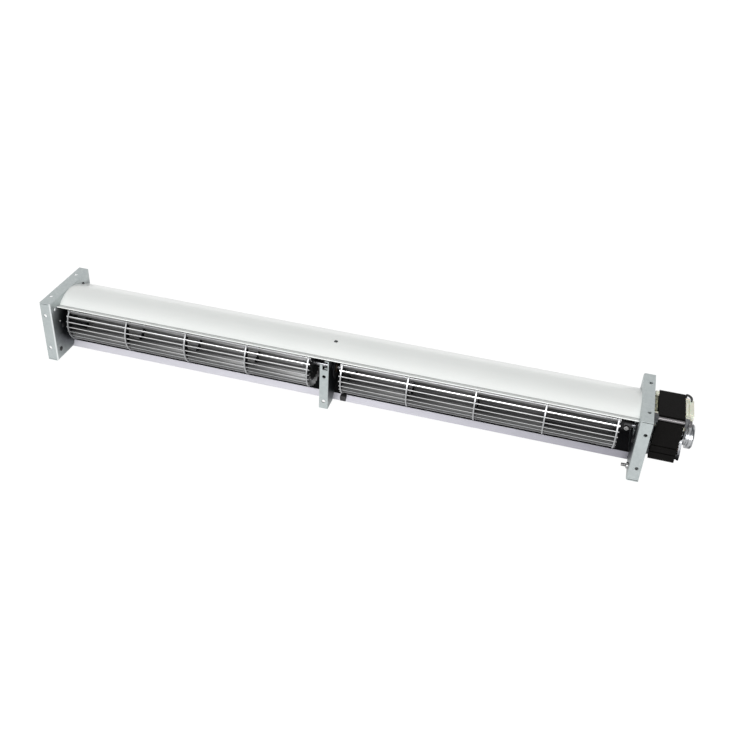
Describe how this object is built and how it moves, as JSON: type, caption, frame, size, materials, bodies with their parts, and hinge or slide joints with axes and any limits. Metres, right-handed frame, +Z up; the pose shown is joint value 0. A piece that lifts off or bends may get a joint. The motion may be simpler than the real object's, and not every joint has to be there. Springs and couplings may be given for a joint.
{
  "type": "cross flow fan",
  "caption": "Long cross flow fan with bladed wheels on one shaft between flanged end plates, a folded casing, a middle bearing bracket and a shaded-pole motor on one end.",
  "frame": {"origin": "centre of the four holes in the end plates' bottom flanges, on the face they stand on", "axes": "+X along the shaft towards the motor, +Y from the open inlet side to the back wall, +Z up"},
  "size_m": [0.7732, 0.094, 0.082],
  "materials": {
    "galvanised_sheet": "dull zinc coat, faint spangle",
    "casing_coat": "smooth pale satin coat",
    "tongue_sheet": "dull zinc coat",
    "black_rubber": "matt moulded rubber",
    "sintered_bronze": "oily sintered bronze",
    "core_varnish": "matt black varnish over laminations",
    "copper": "bare copper",
    "cream_nylon": "moulded nylon",
    "coil_tape": "varnished tape over the winding",
    "zinc_casting": "bright die-cast zinc",
    "zinc_plated_screws": "bright zinc plate",
    "lead_sleeve": "black insulation",
    "wheel_aluminium": "bright rolled aluminium",
    "shaft_steel": "ground steel",
    "hub_steel": "turned steel",
    "rotor_steel": "laminated steel"
  },
  "bodies": {
    "frame": {"right_end_plate": "galvanised_sheet", "left_end_plate": "galvanised_sheet", "casing": "casing_coat", "tongue_plate": "tongue_sheet", "middle_bracket": "galvanised_sheet", "bearing_grommets": "black_rubber", "wheel_bearings": "sintered_bronze", "motor_core": "core_varnish", "shading_rings": "copper", "coil_bobbin": "cream_nylon", "motor_coil": "coil_tape", "inner_motor_bracket": "zinc_casting", "outer_motor_bracket": "zinc_casting", "motor_bearings": "sintered_bronze", "motor_tie_bolts": "zinc_plated_screws", "motor_mount_screws": "zinc_plated_screws", "plate_screw": "zinc_plated_screws", "motor_lead": "lead_sleeve"},
    "rotor": {"wheel_blades": "wheel_aluminium", "wheel_rings": "wheel_aluminium", "wheel_end_discs": "wheel_aluminium", "left_stub_shaft": "shaft_steel", "middle_shaft": "shaft_steel", "coupling_rubber": "black_rubber", "coupling_hub": "hub_steel", "motor_shaft": "shaft_steel", "motor_rotor": "rotor_steel"}
  },
  "joints": [
    {"name": "wheel_spin", "type": "hinge", "parent": "frame", "child": "rotor", "pos_m": [0, 0, 0.041], "axis": [-1, 0, 0], "continuous": true}
  ]
}
